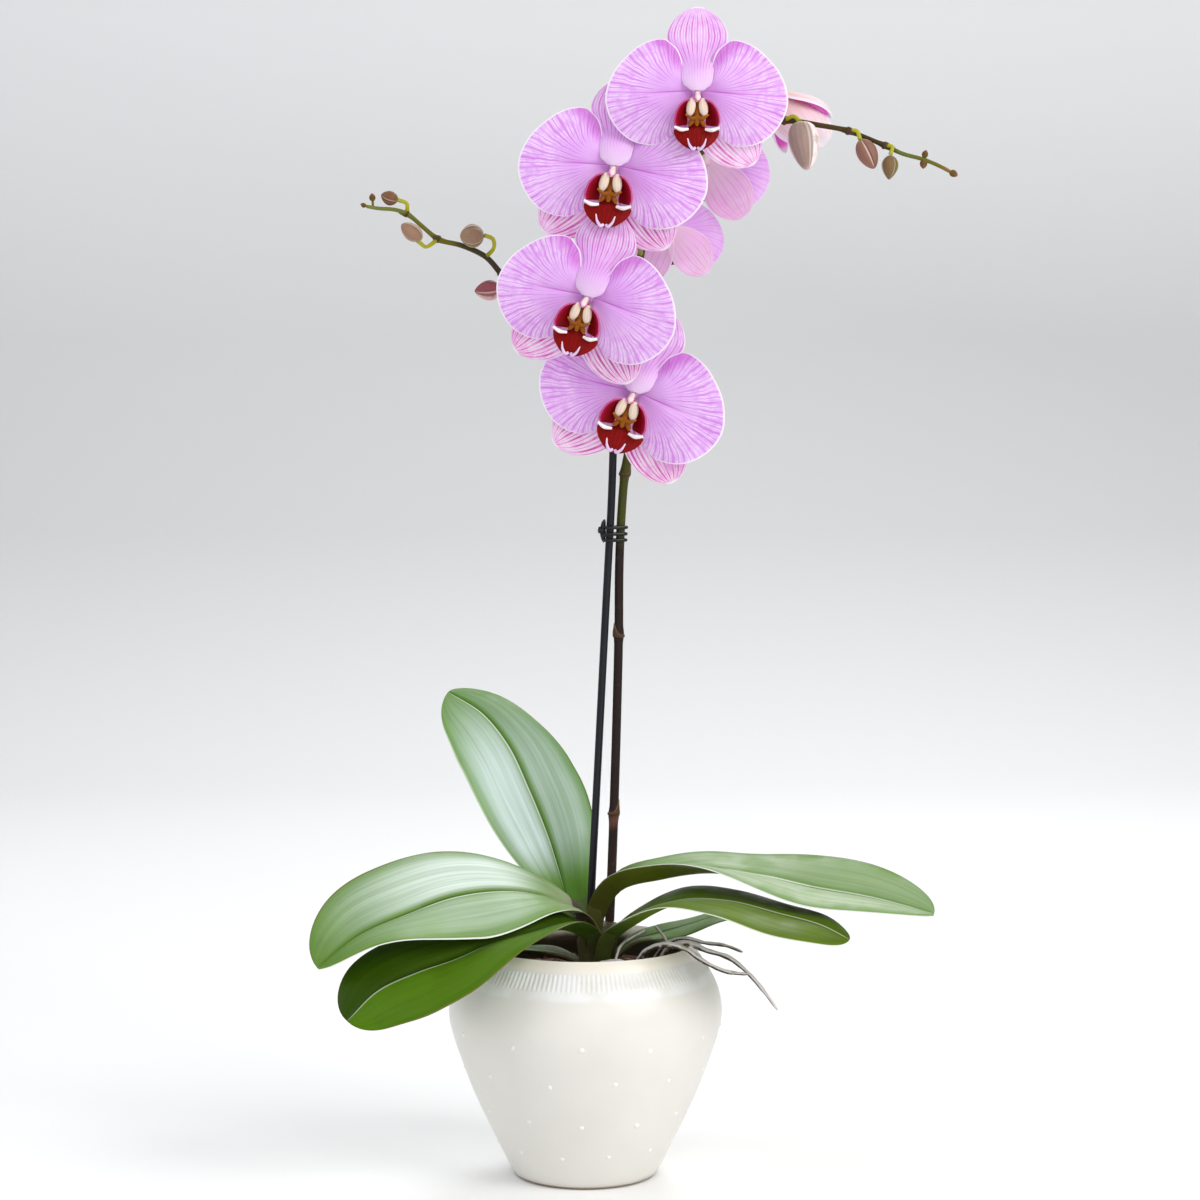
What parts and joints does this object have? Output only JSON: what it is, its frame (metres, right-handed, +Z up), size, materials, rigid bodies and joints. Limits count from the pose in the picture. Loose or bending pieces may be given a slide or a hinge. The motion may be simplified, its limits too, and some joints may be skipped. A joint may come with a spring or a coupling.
{
  "type": "potted orchid",
  "caption": "Moth orchid in a rounded white glazed pot, with thick arching leaves, roots over the rim and a staked spike of open pink blooms and buds.",
  "frame": {"origin": "centre of the pot's flat underside, at the level it stands on", "axes": "+Z up along the spike, -Y towards the side that the open blooms face, +X to the right of someone looking at them"},
  "size_m": [0.3372, 0.1653, 0.6112],
  "materials": {
    "pot_glaze": "cream white glaze, satin gloss",
    "bark": "rough reddish brown bark chips",
    "sheath": "purple brown to olive leaf bases, satin",
    "leaf": "mid green with a pale sheen, satin",
    "root": "silvery grey with green and brown, matte",
    "spike": "brown purple to olive stem, satin",
    "stake_plastic": "black, satin",
    "clip_plastic": "black, glossy",
    "tepal": "orchid pink with darker veins and a white margin, soft",
    "lip": "dark crimson, satin",
    "column": "cream with magenta edges, satin",
    "bud": "dusky mauve pink, matte",
    "opening_flower": "pale pink backs with magenta inside, soft"
  },
  "bodies": {
    "root": {"bark": "bark", "bloom_1_column": "column", "bloom_1_lip": "lip", "bloom_1_tepals": "tepal", "bloom_2_column": "column", "bloom_2_lip": "lip", "bloom_2_tepals": "tepal", "bloom_3_column": "column", "bloom_3_lip": "lip", "bloom_3_tepals": "tepal", "bloom_4_column": "column", "bloom_4_lip": "lip", "bloom_4_tepals": "tepal", "bloom_5_column": "column", "bloom_5_lip": "lip", "bloom_5_tepals": "tepal", "bloom_6_column": "column", "bloom_6_lip": "lip", "bloom_6_tepals": "tepal", "bud_left_1": "bud", "bud_left_2": "bud", "bud_left_3": "bud", "bud_left_4": "bud", "bud_right_1": "bud", "bud_right_2": "bud", "bud_right_3": "bud", "crown": "sheath", "flower_spike": "spike", "leaf_back_right": "leaf", "leaf_low_left": "leaf", "leaf_lower_left": "leaf", "leaf_lower_right": "leaf", "leaf_upper_left": "leaf", "leaf_upper_right": "leaf", "leaf_upright": "leaf", "opening_flower": "opening_flower", "pot": "pot_glaze", "root_1": "root", "root_2": "root", "root_3": "root", "root_4": "root", "root_5": "root", "root_6": "root", "stake": "stake_plastic", "stem_clip": "clip_plastic"}
  },
  "joints": []
}
